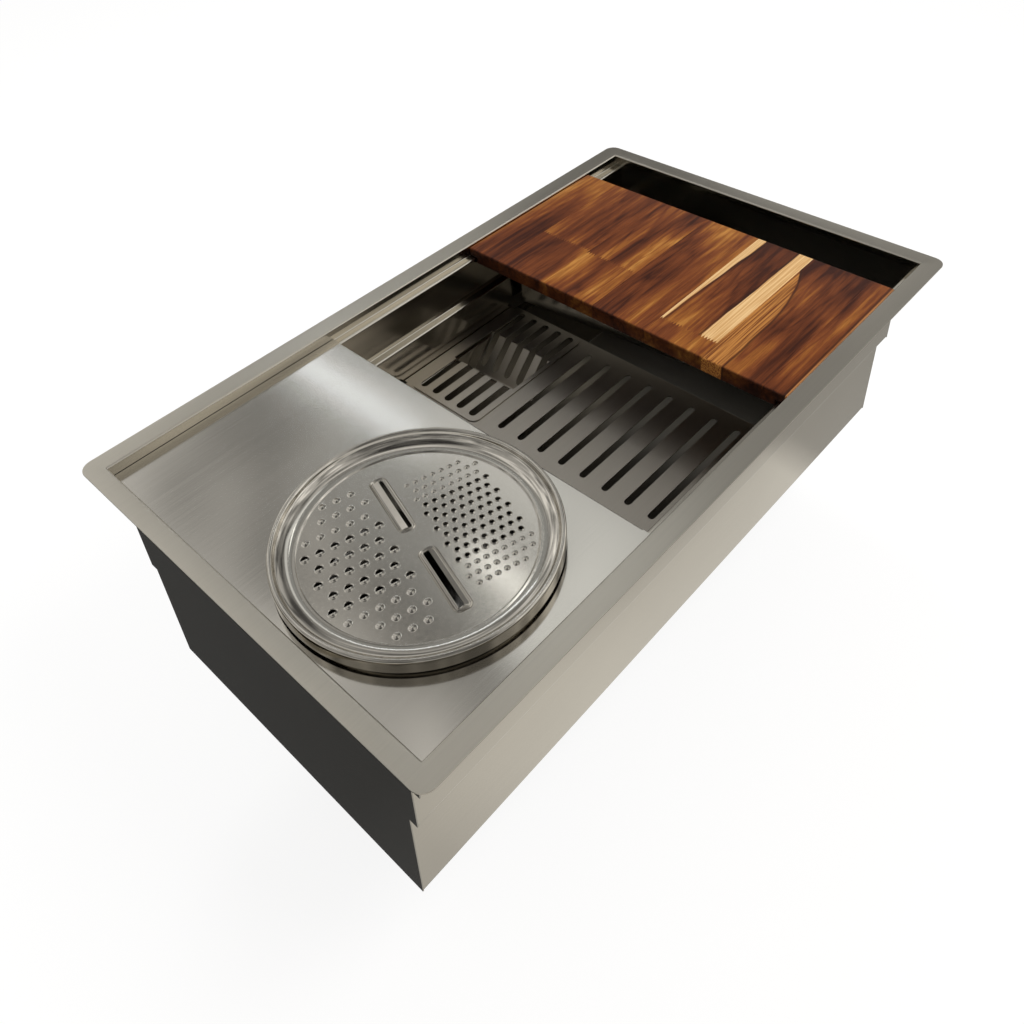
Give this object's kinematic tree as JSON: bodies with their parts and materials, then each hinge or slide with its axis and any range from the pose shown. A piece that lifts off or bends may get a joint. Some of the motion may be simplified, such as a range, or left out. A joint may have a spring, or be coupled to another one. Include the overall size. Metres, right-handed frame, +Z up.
{
  "type": "workstation kitchen sink",
  "caption": "Workstation sink with stepped ledges, sliding drain platform, hung basin with colander and grater lid, slotted rack with insert, cutting board, tray and basket waste.",
  "frame": {"origin": "centre of the bowl opening in plan, in the plane of the rim's top face", "axes": "+X along the length of the sink to its right-hand end, where the cutting board lies; +Y to the back; +Z up out of the bowl"},
  "size_m": [0.813, 0.4826, 0.4078],
  "materials": {
    "satin_steel": "brushed satin along the sheet's length",
    "platform_steel": "fine brushed satin",
    "polished_steel": "bright polished steel",
    "rack_steel": "satin, electropolished",
    "tray_steel": "satin",
    "waste_steel": "bright polished steel",
    "nut_metal": "plated brass",
    "walnut": "oiled dark walnut",
    "pad_rubber": "matt",
    "seal_rubber": "matt",
    "fibre": "pressed fibre",
    "washer_plastic": "smooth"
  },
  "bodies": {
    "sink": {"bowl_shell": "satin_steel", "left_end_panel": "satin_steel", "right_end_panel": "satin_steel", "sound_pads": "pad_rubber", "waste_body": "waste_steel", "waste_gasket": "seal_rubber", "fibre_washer": "fibre", "lock_nut": "nut_metal", "tail_washer": "washer_plastic", "slip_nut": "nut_metal", "tailpiece": "waste_steel"},
    "strainer": {"basket_cup": "waste_steel", "basket_post": "waste_steel", "basket_seal": "seal_rubber"},
    "platform": {"platform": "platform_steel"},
    "basin": {"basin": "polished_steel"},
    "colander": {"colander": "polished_steel"},
    "grater_lid": {"grater_lid": "polished_steel"},
    "rack": {"rack": "rack_steel"},
    "rack_insert": {"rack_insert": "rack_steel"},
    "board": {"board_stave_1": "walnut", "board_stave_2": "walnut", "board_stave_3": "walnut", "board_stave_4": "walnut", "board_stave_5": "walnut", "board_stave_6": "walnut", "board_stave_7": "walnut"},
    "tray": {"strainer_tray": "tray_steel"}
  },
  "joints": [
    {"name": "platform_slide", "type": "slide", "parent": "sink", "child": "platform", "axis": [1, 0, 0], "range_m": [0, 0.105]},
    {"name": "basin_lift", "type": "slide", "parent": "platform", "child": "basin", "axis": [0, 0, 1], "range_m": [0, 0.12]},
    {"name": "colander_lift", "type": "slide", "parent": "basin", "child": "colander", "axis": [0, 0, 1], "range_m": [0, 0.1]},
    {"name": "grater_lift", "type": "slide", "parent": "colander", "child": "grater_lid", "axis": [0, 0, 1], "range_m": [0, 0.1]},
    {"name": "rack_slide", "type": "slide", "parent": "sink", "child": "rack", "axis": [1, 0, 0], "range_m": [-0.3, 0.006]},
    {"name": "insert_lift", "type": "slide", "parent": "rack", "child": "rack_insert", "axis": [0, 0, 1], "range_m": [0, 0.07]},
    {"name": "board_slide", "type": "slide", "parent": "sink", "child": "board", "axis": [1, 0, 0], "range_m": [-0.1, 0.055]},
    {"name": "tray_slide", "type": "slide", "parent": "sink", "child": "tray", "axis": [1, 0, 0], "range_m": [0, 0.1]},
    {"name": "strainer_lift", "type": "slide", "parent": "sink", "child": "strainer", "axis": [0, 0, 1], "range_m": [0, 0.07]}
  ]
}
